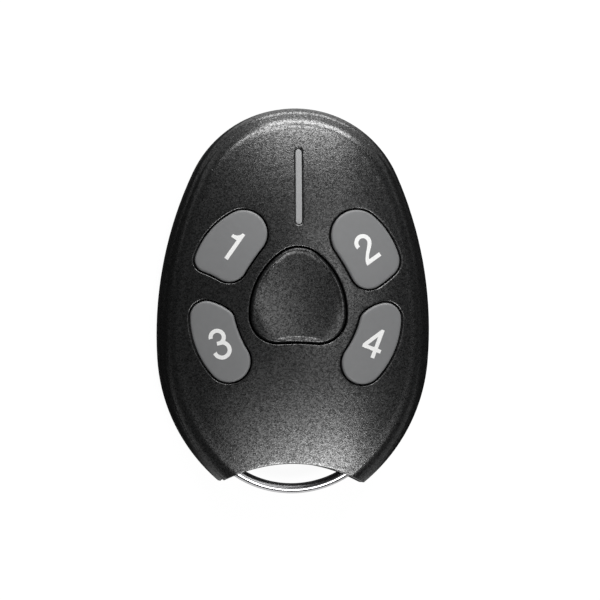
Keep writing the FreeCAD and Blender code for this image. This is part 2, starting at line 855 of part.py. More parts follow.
ribs = shared("ribs", joined("rib_stock", collars + bosses + hold_pins + cradle_caps), within_wall)
pilots = rods(
    "_pilot", SCREWS, "Sizes.screw_radius + Sizes.screw_play", "0",
    "Sizes.seat_height + Sizes.screw_length + Sizes.pilot_spare",
)
hook_room = block(
    "hook_room",
    "Sizes.hook_width + 2 * Sizes.hook_play",
    "Sizes.hook_reach + Sizes.hook_thick + Sizes.hook_play",
    "0",
    "Sizes.split_height + Sizes.hook_rise + Sizes.hook_play",
    "0",
    "Sizes.hook_outer + (Sizes.hook_reach + Sizes.hook_play - Sizes.hook_thick) / 2",
)
front_cover = cut(
    "front_cover",
    joined("front_solid", [front_shell, ribs]),
    joined("front_cuts", openings + [bail_bore, hook_room] + mouths + pilots),
)

# Key caps: hollow, with a flange under the cover and a stem over the switch. Their tops
# follow the crown a little above it.
key_room_dome = domed_form("key_room_dome", WALL + size("key_room_play"), "Sizes.edge_round - Sizes.wall")
key_room = shared("key_room", key_room_dome, inner_plan)


def key_cap(key):
    """One cap: its outline cut to the crown and rounded, hollowed from below."""
    body = prism(key + "_cap", key_outline(key, 0), "Sizes.flange_low", "Sizes.above_all")
    cut_crown(body, -size("key_proud"))
    round_crown_edge(body, "Sizes.key_round")
    if key == "centre_key":
        doc.recompute()
        dish = body.newObject("PartDesign::SubtractiveSphere", "dish")
        dish.setExpression("Radius", "Sizes.dish_radius")
        dish.setExpression("Placement.Base.x", "Sizes.centre_key_x")
        dish.setExpression("Placement.Base.y", "Sizes.centre_key_y + Sizes.dish_forward")
        dish.setExpression("Placement.Base.z", "Sizes.key_top + Sizes.dish_radius - Sizes.dish_depth")
    hollow = outline_sketch(body, key_outline(key, -size("key_wall")), ("0", "0", "Sizes.flange_low"))
    pocket(body, hollow, "Sizes.deck + Sizes.hollow_rise - Sizes.flange_low", True)
    stem_low = "Sizes.plunger_top + Sizes.stem_play"
    stem = circle_sketch(body, "Sizes.stem_radius", ("Sizes.%s_x" % key, "Sizes.%s_y" % key, stem_low))
    pad(body, stem, "Sizes.deck + Sizes.hollow_rise + Sizes.key_round - (%s)" % stem_low)
    flange_edges = key_outline(key, size("flange_reach"))
    flange = prism(key + "_flange", flange_edges, "Sizes.flange_low", "Sizes.flange_thick")
    pocket(
        flange,
        outline_sketch(flange, key_outline(key, -size("key_wall") / 2), ("0", "0", "Sizes.flange_low")),
        "Sizes.flange_thick",
        True,
    )
    return joined(key, [body, shared(key + "_flange_trimmed", flange, key_room)])


keys = {key: key_cap(key) for key in KEYS}

# Light bar: a clear bar in its slot, with a flange under the cover and a foot over the lamp.
OVER_LAMP = "(Sizes.board_top + Sizes.led_high + Sizes.led_gap)"
bar_edges = slot_outline(*bar_shape, 0)
bar_blade = prism("bar_blade", bar_edges, OVER_LAMP, "Sizes.above_all", "0", "Sizes.bar_place")
cut_crown(bar_blade, size("bar_sink"))
round_crown_edge(bar_blade, "Sizes.bar_round")
over_lamp = ("0", "Sizes.bar_place", OVER_LAMP)
foot_block = rectangle_sketch(bar_blade, "Sizes.bar_foot", "Sizes.bar_foot", over_lamp)
pad(bar_blade, foot_block, "Sizes.deck - " + OVER_LAMP)
bar_flange = prism(
    "bar_flange",
    slot_outline(*bar_shape, size("bar_flange")),
    "Sizes.deck - Sizes.flange_thick",
    "Sizes.flange_thick",
    "0",
    "Sizes.bar_place",
)
light_pipe = joined("light_pipe", [bar_blade, shared("bar_flange_trimmed", bar_flange, key_room)])
status_led = block(
    "status_led", "Sizes.led_wide", "Sizes.led_long", "Sizes.board_top", "Sizes.led_high", "0",
    "Sizes.bar_place",
)

# Circuit board: trimmed flat at the foot and at the hook, with a hole for each locating pin.
board_sheet = prism(
    "board_sheet",
    notched_outline(-WALL - size("board_edge_gap"), size("inner_horn_radius")),
    "Sizes.board_low",
    "Sizes.board_thick",
)
BOARD_END = "Sizes.hook_outer - Sizes.hook_thick - Sizes.board_hook_gap"
board_trim = block(
    "board_trim",
    "Sizes.case_width",
    BOARD_END + " - Sizes.board_foot",
    "0",
    "Sizes.above_all",
    "0",
    "(%s + Sizes.board_foot) / 2" % BOARD_END,
)
pin_holes = rods("_pin_hole", POSTS, "Sizes.pin_radius + Sizes.pin_play", "0", "Sizes.above_all")
board_blank = shared("board_blank", board_sheet, board_trim)
circuit_board = cut("circuit_board", board_blank, joined("pin_holes", pin_holes))


# Tact switches: a base with a round well, a steel plate clipped over it, and a plunger.
def switch_base(label, x, y):
    body = block(label, "Sizes.switch_side", "Sizes.switch_side", "Sizes.board_top", "Sizes.switch_high", x, y)
    for side in ("-", "+"):
        leg_y = "%s %s Sizes.leg_pitch / 2" % (y, side)
        foot = ("Sizes.switch_side + 2 * Sizes.leg_long", "Sizes.leg_wide", (x, leg_y, "Sizes.board_top"))
        pad(body, rectangle_sketch(body, *foot), "Sizes.leg_thick")
    well = circle_sketch(body, "Sizes.switch_well", (x, y, "Sizes.switch_top"))
    pocket(body, well, "Sizes.switch_high - Sizes.switch_floor")
    return body


def switch_plate(label, x, y):
    body = block(label, "Sizes.switch_side", "Sizes.switch_side", "Sizes.switch_top", "Sizes.cover_thick", x, y)
    for side in ("-", "+"):
        tab_y = "%s %s(Sizes.switch_side + Sizes.cover_thick) / 2" % (y, side)
        tab = ("Sizes.cover_tab", "Sizes.cover_thick", (x, tab_y, "Sizes.switch_top - Sizes.cover_tab_drop"))
        pad(body, rectangle_sketch(body, *tab), "Sizes.cover_tab_drop + Sizes.cover_thick")
    hole = circle_sketch(body, "Sizes.plunger_radius + Sizes.plunger_play", (x, y, "Sizes.plate_top"))
    pocket(body, hole, "Sizes.cover_thick")
    return body


def switch_plunger(label, x, y):
    collar = "Sizes.plunger_radius + Sizes.plunger_collar"
    collar_low = "Sizes.switch_top - Sizes.plunger_slack - Sizes.plunger_collar_high"
    body = rod(label, collar, collar_low, "Sizes.plunger_collar_high", x, y)
    button = circle_sketch(body, "Sizes.plunger_radius", (x, y, collar_low))
    pad(body, button, "Sizes.plunger_top - (%s)" % collar_low)
    return body


switches = {}
for place, key in enumerate(KEYS, 1):
    x, y = "Sizes.%s_x" % key, "Sizes.%s_y" % key
    switches["switch_base_%d" % place] = switch_base("switch_base_%d" % place, x, y)
    switches["switch_cover_%d" % place] = switch_plate("switch_cover_%d" % place, x, y)
    switches["switch_plunger_%d" % place] = switch_plunger("switch_plunger_%d" % place, x, y)

# Coin cell under the board, the strap that carries it, and the tongue that presses on it.
coin_cell = rod("coin_cell", "Sizes.cell_radius", "Sizes.cell_low", "Sizes.cell_thick", "0", "Sizes.cell_place")
fillet(coin_cell, "Sizes.cell_round", lambda edge: True)

strap_inside = "Sizes.cell_radius + Sizes.strap_play"
positive_clip = block(
    "positive_clip",
    "2 * (%s + Sizes.strap_thick)" % strap_inside,
    "Sizes.strap_width",
    "Sizes.strap_low",
    "Sizes.strap_thick",
    "0",
    "Sizes.cell_place",
)
for side in ("-", ""):
    leg = (
        "Sizes.strap_thick",
        "Sizes.strap_width",
        (side + "(%s + Sizes.strap_thick / 2)" % strap_inside, "Sizes.cell_place", "Sizes.strap_low"),
    )
    pad(positive_clip, rectangle_sketch(positive_clip, *leg), "Sizes.board_low - Sizes.strap_low")
    foot = (
        "Sizes.strap_foot",
        "Sizes.strap_width",
        (
            side + "(%s + Sizes.strap_foot / 2)" % strap_inside,
            "Sizes.cell_place",
            "Sizes.board_low - Sizes.strap_thick",
        ),
    )
    pad(positive_clip, rectangle_sketch(positive_clip, *foot), "Sizes.strap_thick")

negative_contact = new_body("negative_contact")
under_board, on_cell = size("board_low"), size("cell_low") + size("cell_thick")
strip, half_long = size("tongue_thick"), size("tongue_long") / 2
side_view = [
    (-half_long, under_board),
    (half_long, under_board),
    (half_long, under_board - strip),
    (-strip, on_cell),
    (-strip - size("tongue_pad"), on_cell),
    (-strip - size("tongue_pad"), on_cell + strip),
    (-strip, on_cell + strip),
    (half_long - size("tongue_bend"), under_board - strip),
    (-half_long, under_board - strip),
]
side_points = [Vector(y + size("cell_place"), z, 0) for y, z in side_view]
side_lines = [Part.LineSegment(a, b) for a, b in zip(side_points, side_points[1:] + side_points[:1])]
pad(
    negative_contact,
    outline_sketch(negative_contact, side_lines, ("0", "0", "-Sizes.tongue_width / 2"), "YZ_Plane"),
    "Sizes.tongue_width",
)


# Parts soldered under the board.
LEADS = 4


def chip(label, x, y):
    """Square package with leads at an even pitch on both sides."""
    low = "Sizes.board_low - Sizes.chip_stand - Sizes.chip_high"
    body = block(label, "Sizes.chip_side", "Sizes.chip_side", low, "Sizes.chip_high", x, y)
    for place in range(LEADS):
        lead_y = "%s + %s * Sizes.chip_leg_pitch" % (y, place - (LEADS - 1) / 2)
        lead = (
            "Sizes.chip_side + 2 * Sizes.chip_leg",
            "Sizes.chip_leg_wide",
            (x, lead_y, "Sizes.board_low - Sizes.chip_leg_thick"),
        )
        pad(body, rectangle_sketch(body, *lead), "Sizes.chip_leg_thick")
    return body


radio_chip = chip("radio_chip", "Sizes.radio_x", "Sizes.radio_y")
encoder_chip = chip("encoder_chip", "Sizes.encoder_x", "Sizes.encoder_y")
crystal = block(
    "crystal", "Sizes.crystal_long", "Sizes.crystal_wide", "Sizes.board_low - Sizes.crystal_high",
    "Sizes.crystal_high", "Sizes.crystal_x", "Sizes.radio_y",
)
small_parts = []
for near, places in (("encoder", ENCODER_PARTS), ("radio", RADIO_PARTS)):
    for along, aside in places:
        small_parts.append(
            block(
                "small_part",
                "Sizes.small_long",
                "Sizes.small_wide",
                "Sizes.board_low - Sizes.small_high",
                "Sizes.small_high",
                "Sizes.%s_x + %s" % (near, along),
                "Sizes.%s_y + %s" % (near, aside),
            )
        )
chip_parts = joined("chip_parts", small_parts)


def wire(label, radius, edges, at, plane, ring_at, ring_plane):
    """Round wire: a path drawn in one origin plane, and a ring drawn in another."""
    body = new_body(label)
    path = outline_sketch(body, edges, at, plane)
    ring = circle_sketch(body, radius, ring_at, ring_plane)
    pipe = body.newObject("PartDesign::AdditivePipe", "pipe")
    pipe.Profile = ring
    pipe.Spine = path
    return body


# Loop aerial: one wire, bent down at both ends, along the board's foot.
half_span, bend = size("aerial_span") / 2, size("aerial_bend")
aerial_low = -size("aerial_drop")
right_end = Vector(half_span, 0, 0)
right_leg = Vector(half_span, aerial_low + bend, 0)
right_run = Vector(half_span - bend, aerial_low, 0)
right_bend = Vector(half_span - bend, aerial_low + bend, 0)
aerial_edges = [
    Part.LineSegment(mirrored(right_end), mirrored(right_leg)),
    arc(mirrored(right_bend), bend, mirrored(right_leg), mirrored(right_run), True),
    Part.LineSegment(mirrored(right_run), right_run),
    arc(right_bend, bend, right_run, right_leg, True),
    Part.LineSegment(right_leg, right_end),
]
antenna = wire(
    "antenna",
    "Sizes.aerial_radius",
    aerial_edges,
    ("0", "Sizes.board_low", "-Sizes.aerial_y"),
    "XZ_Plane",
    ("-Sizes.aerial_span / 2", "Sizes.aerial_y", "Sizes.board_low"),
    "XY_Plane",
)

# Bail: a closed wire loop, drawn level about its pivot and then turned down to its rest.
reach, arc_radius = size("bail_reach"), leg_side + size("bail_arc_spare")
corner, shoulder_bend = size("bail_corner"), size("bail_shoulder")
arc_middle = Vector(0, arc_radius - reach, 0)
corner_x = leg_side - corner
corner_middle = Vector(corner_x, arc_middle.y - math.sqrt((arc_radius - corner) ** 2 - corner_x**2), 0)
arc_end = away(arc_middle, corner_middle, arc_radius)
leg_foot = corner_middle + Vector(corner, 0, 0)
leg_head = Vector(leg_side, -shoulder_bend, 0)
bar_end = Vector(leg_side - shoulder_bend, 0, 0)
shoulder_middle = Vector(leg_side - shoulder_bend, -shoulder_bend, 0)
bail_edges = [
    Part.LineSegment(Vector(0, 0, 0), bar_end),
    arc(shoulder_middle, shoulder_bend, bar_end, leg_head, False),
    Part.LineSegment(leg_head, leg_foot),
    arc(corner_middle, corner, leg_foot, arc_end, False),
    arc(arc_middle, arc_radius, arc_end, mirrored(arc_end), False),
    arc(mirrored(corner_middle), corner, mirrored(arc_end), mirrored(leg_foot), False),
    Part.LineSegment(mirrored(leg_foot), mirrored(leg_head)),
    arc(mirrored(shoulder_middle), shoulder_bend, mirrored(leg_head), mirrored(bar_end), False),
    Part.LineSegment(mirrored(bar_end), Vector(0, 0, 0)),
]
CENTRE = ("0", "0", "0")
key_bail = wire("key_bail", "Sizes.wire_radius", bail_edges, CENTRE, "XY_Plane", CENTRE, "YZ_Plane")
key_bail.Placement = Placement(Vector(0, 0, 0), Rotation(Vector(1, 0, 0), size("bail_droop")))
key_bail.setExpression("Placement.Rotation.Angle", "Sizes.bail_droop")
key_bail.setExpression("Placement.Base.y", "Sizes.pivot_place")
key_bail.setExpression("Placement.Base.z", "Sizes.split_height")


# Screws: pan heads in the back, shanks in the front cover's bosses.
def screw(label, x):
    body = new_body(label)
    head, shank = size("head_radius"), size("screw_radius")
    low, seat = size("head_sink"), size("seat_height")
    tip = seat + size("screw_length")
    half_view = [
        Vector(0, low, 0),
        Vector(head, low, 0),
        Vector(head, seat, 0),
        Vector(shank, seat, 0),
        Vector(shank, tip - size("screw_point"), 0),
        Vector(size("screw_tip"), tip, 0),
        Vector(0, tip, 0),
    ]
    edges = [Part.LineSegment(a, b) for a, b in zip(half_view, half_view[1:] + half_view[:1])]
    sketch = outline_sketch(body, edges, ("0", "0", "-Sizes.screw_y"), "XZ_Plane")
    turned = body.newObject("PartDesign::Revolution", "turned")
    turned.Profile = sketch
    turned.ReferenceAxis = (sketch, ["V_Axis"])
    turned.Angle = 360
    at_face = at_height(low)
    fillet(body, "Sizes.head_round", lambda edge: at_face(edge) and edge.BoundBox.XMax > head - TOUCH)
    for wide, deep in (("Sizes.cross_wide", "Sizes.cross_long"), ("Sizes.cross_long", "Sizes.cross_wide")):
        slot = rectangle_sketch(body, wide, deep, ("0", "Sizes.screw_y", "Sizes.head_sink"))
        pocket(body, slot, "Sizes.cross_deep", True)
    body.setExpression("Placement.Base.x", x)
    return body


screws = [screw("right_screw", "Sizes.screw_x"), screw("left_screw", "-Sizes.screw_x")]
case_screws = joined("case_screws", screws)

# The finished pieces and their files.
nodes = {
    "front_cover": front_cover,
    "rear_cover": rear_cover,
    "light_pipe": light_pipe,
    "circuit_board": circuit_board,
    "status_led": status_led,
    "coin_cell": coin_cell,
    "positive_clip": positive_clip,
    "negative_contact": negative_contact,
    "radio_chip": radio_chip,
    "encoder_chip": encoder_chip,
    "crystal": crystal,
    "chip_parts": chip_parts,
    "antenna": antenna,
    "key_bail": key_bail,
    "case_screws": case_screws,
}
nodes.update(keys)
nodes.update(switches)
doc.recompute()

for item in doc.Objects:
    if "Invalid" in item.State or "Error" in item.State:
        raise RuntimeError("%s (%s) failed" % (item.Name, item.Label))
for node, item in nodes.items():
    if item.Label != node:
        raise RuntimeError("%s is labelled %s" % (node, item.Label))
    if item.Shape.isNull() or not item.Shape.isValid():
        raise RuntimeError("%s has no valid shape" % node)

os.makedirs("parts", exist_ok=True)
for node, item in nodes.items():
    item.Shape.exportStep(os.path.join("parts", node + ".step"))
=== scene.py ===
import math

import bmesh
import bpy
import numpy as np
from mathutils import Matrix, Vector, kdtree


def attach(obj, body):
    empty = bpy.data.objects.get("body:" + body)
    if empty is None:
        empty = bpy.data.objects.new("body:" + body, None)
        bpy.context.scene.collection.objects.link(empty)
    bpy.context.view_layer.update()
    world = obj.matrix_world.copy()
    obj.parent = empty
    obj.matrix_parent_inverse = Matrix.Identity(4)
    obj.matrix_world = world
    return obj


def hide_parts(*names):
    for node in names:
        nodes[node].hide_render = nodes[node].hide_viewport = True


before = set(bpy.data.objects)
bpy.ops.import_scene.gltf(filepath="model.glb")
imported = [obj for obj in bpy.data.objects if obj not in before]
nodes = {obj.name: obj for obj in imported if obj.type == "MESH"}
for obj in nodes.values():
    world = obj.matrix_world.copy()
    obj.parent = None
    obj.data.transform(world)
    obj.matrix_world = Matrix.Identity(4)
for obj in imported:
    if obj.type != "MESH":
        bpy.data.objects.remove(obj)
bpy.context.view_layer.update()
MM = 0.001

# Rear cover: a dish moulded in black plastic, spark-eroded all over but for one smooth
# panel on its flat back, where such a remote leaves room for a sticker. It carries the
# board's posts, the cradles of the bail and the pedestals of two screws.
JOIN_DISTANCE, SLIVER = 0.0006 * MM, 0.0002 * MM
FLAT_ANGLE, CREASE_ANGLE = math.radians(0.2), math.radians(32.0)


def put(name, data):
    """A new object in the scene that shows data."""
    made = bpy.data.objects.new(name, data)
    bpy.context.scene.collection.objects.link(made)
    return made


def piece(node, name, body, reshape=None):
    """A node's triangles joined at their corners into one smooth skin that stands for it, and
    flat ones into one face. Edges that turn by more than the crease angle stay sharp, and flat
    faces keep their own direction, because each corner leans towards its largest faces."""
    mesh = nodes[node].data.copy()
    mesh.name = name
    form = bmesh.new()
    form.from_mesh(mesh)
    bmesh.ops.remove_doubles(form, verts=form.verts, dist=JOIN_DISTANCE)
    bmesh.ops.dissolve_degenerate(form, edges=form.edges, dist=SLIVER)
    bmesh.ops.dissolve_limit(form, angle_limit=FLAT_ANGLE, verts=form.verts, edges=form.edges)
    if reshape:
        bmesh.ops.triangulate(form, faces=form.faces)
        reshape(form)
    for face in form.faces:
        face.smooth = True
    form.to_mesh(mesh)
    form.free()
    mesh.materials.clear()
    mesh.set_sharp_from_angle(angle=CREASE_ANGLE)
    made = put(name, mesh)
    lean = made.modifiers.new("lean", "WEIGHTED_NORMAL")
    lean.mode = "FACE_AREA"
    lean.keep_sharp = True
    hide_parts(node)
    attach(made, body)
    return made


class Finish:
    """A node material: one Principled shader, and short ways to add patterns read from the
    piece's own coordinates. A pattern is one number at each place, and lengths are in metres."""

    def __init__(self, name, colour, roughness, metallic=0.0):
        self.material = bpy.data.materials.new(name)
        self.material.use_nodes = True
        self.tree = self.material.node_tree
        self.shader = self.tree.nodes["Principled BSDF"]
        self.shader.inputs["Base Color"].default_value = (*colour, 1)
        self.shader.inputs["Roughness"].default_value = roughness
        self.shader.inputs["Metallic"].default_value = metallic
        self.place = self.add("ShaderNodeTexCoord").outputs["Object"]

    def add(self, kind, **settings):
        """A new node with some of its settings."""
        node = self.tree.nodes.new(kind)
        for setting, value in settings.items():
            setattr(node, setting, value)
        return node

    def join(self, source, target):
        """A link from an output to an input."""
        self.tree.links.new(source, target)

    def noise(self, size, detail=2.0, roughness=0.55):
        """Cloudy pattern whose spots are about size across."""
        node = self.add("ShaderNodeTexNoise")
        node.inputs["Scale"].default_value = 1 / size
        node.inputs["Detail"].default_value = detail
        node.inputs["Roughness"].default_value = roughness
        self.join(self.place, node.inputs["Vector"])
        return node.outputs["Fac"]

    def pits(self, size, measure="EUCLIDEAN"):
        """One plain number from 0 to 1 for each of scattered pits about size across."""
        node = self.add("ShaderNodeTexVoronoi", distance=measure)
        node.inputs["Scale"].default_value = 1 / size
        self.join(self.place, node.inputs["Vector"])
        parts = self.add("ShaderNodeSeparateColor")
        self.join(node.outputs["Color"], parts.inputs[0])
        return parts.outputs[0]

    def math(self, operation, *values):
        """One step of arithmetic on patterns and plain numbers."""
        node = self.add("ShaderNodeMath", operation=operation)
        for socket, value in zip(node.inputs, values):
            if isinstance(value, (int, float)):
                socket.default_value = value
            else:
                self.join(value, socket)
        return node.outputs[0]

    def remap(self, value, low, high, to_low, to_high):
        """value from low..high carried to to_low..to_high, held at both ends."""
        node = self.add("ShaderNodeMapRange")
        for socket, number in zip(node.inputs[1:5], (low, high, to_low, to_high)):
            socket.default_value = number
        self.join(value, node.inputs[0])
        return node.outputs[0]

    def blend(self, factor, first, second):
        """Colour from first at factor 0 to second at factor 1."""
        node = self.add("ShaderNodeMix", data_type="RGBA")
        self.join(factor, node.inputs["Factor"])
        for socket, colour in zip((node.inputs[6], node.inputs[7]), (first, second)):
            if isinstance(colour, tuple):
                socket.default_value = (*colour, 1)
            else:
                self.join(colour, socket)
        return node.outputs[2]

    def axis(self, letter):
        """The place along X, Y or Z."""
        node = self.add("ShaderNodeSeparateXYZ")
        self.join(self.place, node.inputs[0])
        return node.outputs[letter]

    def from_line(self, centre):
        """Distance in plan from an upright line through centre: sqrt(x^2 + y^2)."""
        x = self.math("SUBTRACT", self.axis("X"), centre[0])
        y = self.math("SUBTRACT", self.axis("Y"), centre[1])
        return self.math("SQRT", self.math("ADD", self.math("POWER", x, 2.0), self.math("POWER", y, 2.0)))

    def colour(self, value):
        self.join(value, self.shader.inputs["Base Color"])

    def shine(self, value):
        self.join(value, self.shader.inputs["Specular IOR Level"])

    def rough(self, value):
        self.join(value, self.shader.inputs["Roughness"])

    def relief(self, height, depth):
        """Bump whose height of 0 to 1 stands for 0 to depth."""
        node = self.add("ShaderNodeBump")
        node.inputs["Distance"].default_value = depth
        self.join(height, node.inputs["Height"])
        self.join(node.outputs["Normal"], self.shader.inputs["Normal"])

    def mottled(self, size, first, second, detail=2.0):
        """Colour that drifts from first to second in clouds about size across."""
        self.colour(self.blend(self.noise(size, detail), first, second))

    def uneven(self, size, low, high, detail=2.0):
        """Roughness that drifts from low to high in clouds about size across."""
        self.rough(self.remap(self.noise(size, detail), 0.3, 0.7, low, high))

    def grained(self, size, depth):
        """Bumps about size across and depth high."""
        self.relief(self.noise(size), depth)

    def on(self, *objects):
        """Gives this finish to pieces, as their only material."""
        for made in objects:
            made.data.materials.clear()
            made.data.materials.append(self.material)


SPARK_GRAIN, SPARK_DEPTH = 0.16 * MM, 0.016 * MM
SPARK_SHINE, SPARK_ROUGH = (0.35, 1.75), (0.31, 0.25)
WIDE_GRAIN, FINE_SHARE = 2.3, 0.7
CASE_BLACK = (0.0038, 0.0039, 0.004)
SPECK_GREY = (0.013, 0.0132, 0.0135)
PANEL_HALF = (11.0 * MM, 12.5 * MM)
PANEL_MIDDLE_Y, PANEL_TOP = 4.0 * MM, 0.1 * MM
PANEL_BLUR = 0.02 * MM
PANEL_RELIEF, PANEL_GLOSS = 0.06, 0.14


def spark_black(name, panel=False):
    """Black plastic off a spark-eroded mould: grain of two sizes, FINE_SHARE of it fine, and pits
    that each have a shine of their own. The panel, if there is one, is nearly flat and glossier."""
    finish = Finish(name, CASE_BLACK, 0.5)
    grain = finish.noise(SPARK_GRAIN, 1.0, 0.6)
    wide = finish.noise(SPARK_GRAIN * WIDE_GRAIN, 1.0)
    fine_part = finish.math("MULTIPLY", grain, FINE_SHARE)
    height = finish.math("ADD", fine_part, finish.math("MULTIPLY", wide, 1 - FINE_SHARE))
    pit = finish.pits(SPARK_GRAIN)
    finish.colour(finish.blend(pit, CASE_BLACK, SPECK_GREY))
    finish.shader.inputs["IOR"].default_value = 1.6
    finish.shade = finish.remap(pit, 0.0, 1.0, *SPARK_SHINE)
    finish.shine(finish.shade)
    roughness = finish.remap(grain, 0.3, 0.7, *SPARK_ROUGH)
    if panel:
        across = finish.math("SUBTRACT", finish.math("ABSOLUTE", finish.axis("X")), PANEL_HALF[0])
        along = finish.math("ABSOLUTE", finish.math("SUBTRACT", finish.axis("Y"), PANEL_MIDDLE_Y))
        outside = finish.math("MAXIMUM", across, finish.math("SUBTRACT", along, PANEL_HALF[1]))
        above = finish.math("SUBTRACT", finish.axis("Z"), PANEL_TOP)
        off_panel = finish.math("MAXIMUM", outside, above)
        smooth = finish.remap(off_panel, -PANEL_BLUR, PANEL_BLUR, 1.0, 0.0)
        height = finish.math("MULTIPLY", height, finish.remap(smooth, 0.0, 1.0, 1.0, PANEL_RELIEF))
        roughness = finish.math("SUBTRACT", roughness, finish.math("MULTIPLY", smooth, PANEL_GLOSS))
    finish.rough(roughness)
    finish.relief(height, SPARK_DEPTH)
    return finish


rear = piece("rear_cover", "rear_case", "case")
spark_black("spark_black_rear", panel=True).on(rear)

# Coin cell: a nickel-plated steel can, its crimped rim turned over a dark gasket. The strap
# below it and the tongue above it are sprung nickel strip, soldered to the board.
RING_DEPTH, RING_CLOUD = 0.0015 * MM, 1.4 * MM


def turned_metal(name, colour, roughness, centre, pitch):
    """Metal with fine rings round a centre in plan, as a turned or stamped face has: a sine of
    the distance from the centre, one turn a pitch."""
    finish = Finish(name, colour, roughness, 1.0)
    finish.radius = finish.from_line(centre)
    rings = finish.math("SINE", finish.math("MULTIPLY", finish.radius, 2 * math.pi / pitch))
    finish.uneven(RING_CLOUD, roughness * 0.8, roughness * 1.25)
    finish.relief(finish.remap(rings, -1.0, 1.0, 0.0, 1.0), RING_DEPTH)
    return finish


CELL_STEEL, GASKET_BLACK = (0.62, 0.61, 0.59), (0.03, 0.03, 0.035)
CELL_MIDDLE, CELL_PITCH = (0.0, 3.0 * MM), 0.25 * MM
GASKET_RADIUS, GASKET_HALF, GASKET_EDGE = 8.9 * MM, 0.1 * MM, 0.16 * MM
CAN_SHOULDER, CAN_FACE = 4.6 * MM, 4.7 * MM

can = turned_metal("cell_steel", CELL_STEEL, 0.3, CELL_MIDDLE, CELL_PITCH)
off_gasket = can.math("ABSOLUTE", can.math("SUBTRACT", can.radius, GASKET_RADIUS))
gasket = can.remap(off_gasket, GASKET_HALF, GASKET_EDGE, 1.0, 0.0)
facing_up = can.remap(can.axis("Z"), CAN_SHOULDER, CAN_FACE, 0.0, 1.0)
can.colour(can.blend(can.math("MULTIPLY", gasket, facing_up), CELL_STEEL, GASKET_BLACK))
can.on(piece("coin_cell", "coin_cell_can", "case"))

SCRATCH_STRETCH, SCRATCH_DEPTH = 0.06, 0.002 * MM


def plated(name, colour, roughness, scratch):
    """Plated strip, with fine drawn scratches along X: a noise stretched along X sets both how
    rough the strip is and its relief."""
    finish = Finish(name, colour, roughness, 1.0)
    stretch = finish.add("ShaderNodeMapping")
    stretch.inputs["Scale"].default_value = (SCRATCH_STRETCH, 1.0, 1.0)
    finish.join(finish.place, stretch.inputs["Vector"])
    finish.place = stretch.outputs["Vector"]
    lines = finish.noise(scratch, 3.0)
    finish.rough(finish.remap(lines, 0.3, 0.7, roughness * 0.75, roughness * 1.3))
    finish.relief(lines, SCRATCH_DEPTH)
    return finish


strip = plated("nickel_strip", (0.66, 0.63, 0.58), 0.28, 0.12 * MM)
strip.on(
    piece("positive_clip", "cell_strap", "case"),
    piece("negative_contact", "cell_tongue", "case"),
)

# Circuit board: glass-fibre laminate with green solder mask, copper tracks showing through it
# as a lighter green, and a bare edge the colour of the laminate.
MASK_GREEN, TRACK_GREEN, LAMINATE = (0.008, 0.085, 0.035), (0.014, 0.135, 0.05), (0.36, 0.31, 0.16)
BOARD_MIDDLE = 5.8 * MM
MASK_HALF, MASK_EDGE = 0.38 * MM, 0.39 * MM
TRACK_PITCH, TRACK_DEPTH = 0.7 * MM, 0.02 * MM
TRACK_HALF, TRACK_BLUR = 0.22, 0.02
ZONE = 5.0 * MM
ALONG_Y_SHARE, ALONG_X_FROM = 0.4, 0.72
mask = Finish("solder_mask", MASK_GREEN, 0.3)


def stripes(letter):
    """1 on the tracks that cross an axis at the track pitch, 0 between them. TRACK_HALF is half
    a track's width as a share of the pitch."""
    turn = mask.math("FRACT", mask.math("DIVIDE", mask.axis(letter), TRACK_PITCH))
    off = mask.math("ABSOLUTE", mask.math("SUBTRACT", turn, 0.5))
    return mask.remap(off, TRACK_HALF - TRACK_BLUR, TRACK_HALF + TRACK_BLUR, 1.0, 0.0)


zone = mask.pits(ZONE, "CHEBYCHEV")
along_y = mask.math("LESS_THAN", zone, ALONG_Y_SHARE)
along_x = mask.math("GREATER_THAN", zone, ALONG_X_FROM)
tracks = mask.math("SUBTRACT", mask.math("SUBTRACT", 1.0, along_y), along_x)
for chosen, letter in ((along_y, "X"), (along_x, "Y")):
    tracks = mask.math("ADD", tracks, mask.math("MULTIPLY", chosen, stripes(letter)))
off_middle = mask.math("ABSOLUTE", mask.math("SUBTRACT", mask.axis("Z"), BOARD_MIDDLE))
bare_edge = mask.remap(off_middle, MASK_HALF, MASK_EDGE, 1.0, 0.0)
mask.colour(mask.blend(bare_edge, mask.blend(tracks, MASK_GREEN, TRACK_GREEN), LAMINATE))
mask.uneven(2.5 * MM, 0.24, 0.36)
mask.relief(tracks, TRACK_DEPTH)
mask.on(piece("circuit_board", "board", "case"))

